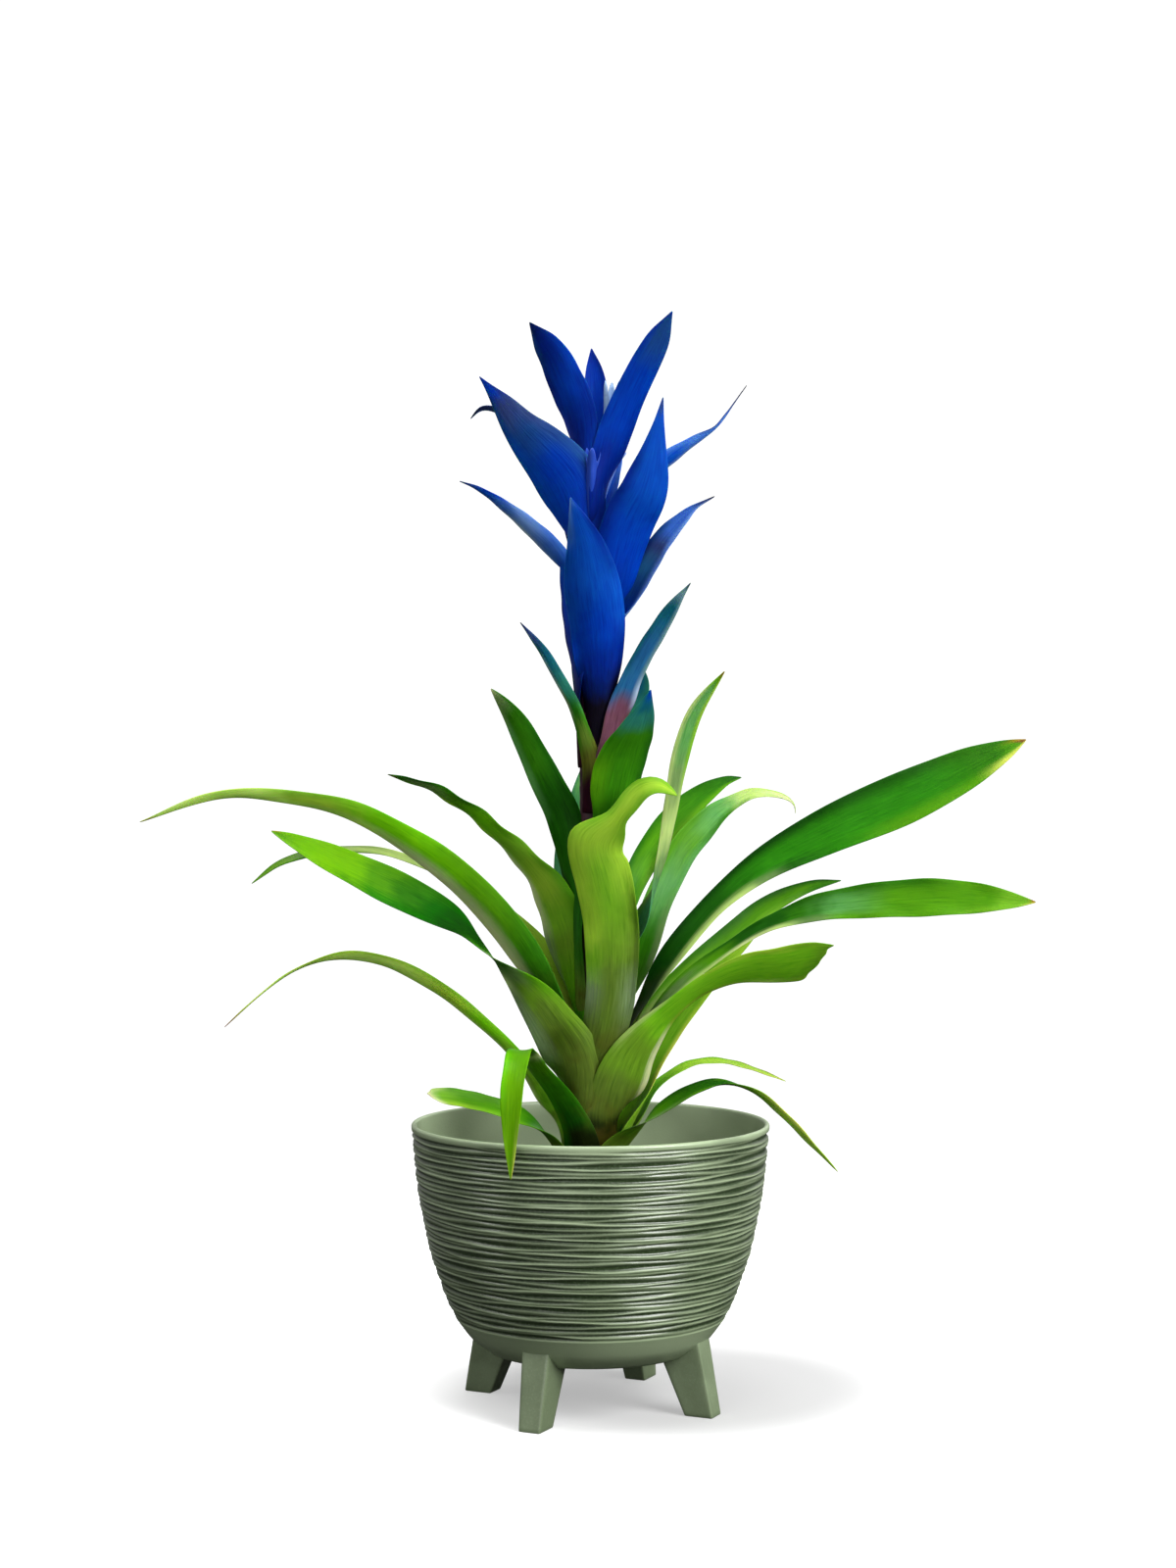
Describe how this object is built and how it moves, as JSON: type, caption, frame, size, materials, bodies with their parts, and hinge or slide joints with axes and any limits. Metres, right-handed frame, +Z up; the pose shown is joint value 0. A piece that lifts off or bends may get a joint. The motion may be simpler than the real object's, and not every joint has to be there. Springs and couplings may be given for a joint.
{
  "type": "potted guzmania",
  "caption": "Potted bromeliad with arching strap leaves and a tall spike of blue bracts, in a ridged sage-green pot on short splayed feet.",
  "frame": {"origin": "centre of the whole plant's footprint, on the floor (the pot's own axis stands on it)", "axes": "+Z up along the stem, +X to the right of the plant as pictured, -Y towards the viewer"},
  "size_m": [0.448, 0.2382, 0.5483],
  "materials": {
    "pot": "satin",
    "soil": "rough bark mix",
    "stem": "satin",
    "leaf": "waxy satin",
    "green_bract": "waxy satin",
    "bract": "waxy satin",
    "flower": "soft satin"
  },
  "bodies": {
    "root": {"bract_back_inner": "bract", "bract_back_lower": "bract", "bract_back_middle": "bract", "bract_back_top": "bract", "bract_back_upper": "bract", "bract_front_green": "green_bract", "bract_front_large": "bract", "bract_left_behind": "bract", "bract_left_dark": "bract", "bract_left_inner": "bract", "bract_left_large": "bract", "bract_left_lower": "bract", "bract_left_thin": "bract", "bract_right_behind": "bract", "bract_right_far": "bract", "bract_right_inner": "bract", "bract_right_lower": "bract", "bract_right_middle": "bract", "bract_right_wide": "bract", "flower_back": "flower", "flower_left": "flower", "flower_right": "flower", "foot_1": "pot", "foot_2": "pot", "foot_3": "pot", "foot_4": "pot", "leaf_back_arching": "leaf", "leaf_back_inner": "leaf", "leaf_back_low": "leaf", "leaf_back_lowest": "leaf", "leaf_back_upright": "leaf", "leaf_front_curled": "leaf", "leaf_front_hanging": "leaf", "leaf_left_arching": "leaf", "leaf_left_inner": "leaf", "leaf_left_long": "leaf", "leaf_left_low": "leaf", "leaf_left_narrow": "leaf", "leaf_left_twisted": "leaf", "leaf_left_upper": "leaf", "leaf_right_back": "leaf", "leaf_right_curled": "leaf", "leaf_right_drooping": "leaf", "leaf_right_inner": "leaf", "leaf_right_level": "leaf", "leaf_right_long": "leaf", "leaf_right_short": "leaf", "leaf_right_steep": "leaf", "leaf_right_thin": "leaf", "leaf_right_torn": "leaf", "pot": "pot", "soil": "soil", "stem": "stem"}
  },
  "joints": []
}
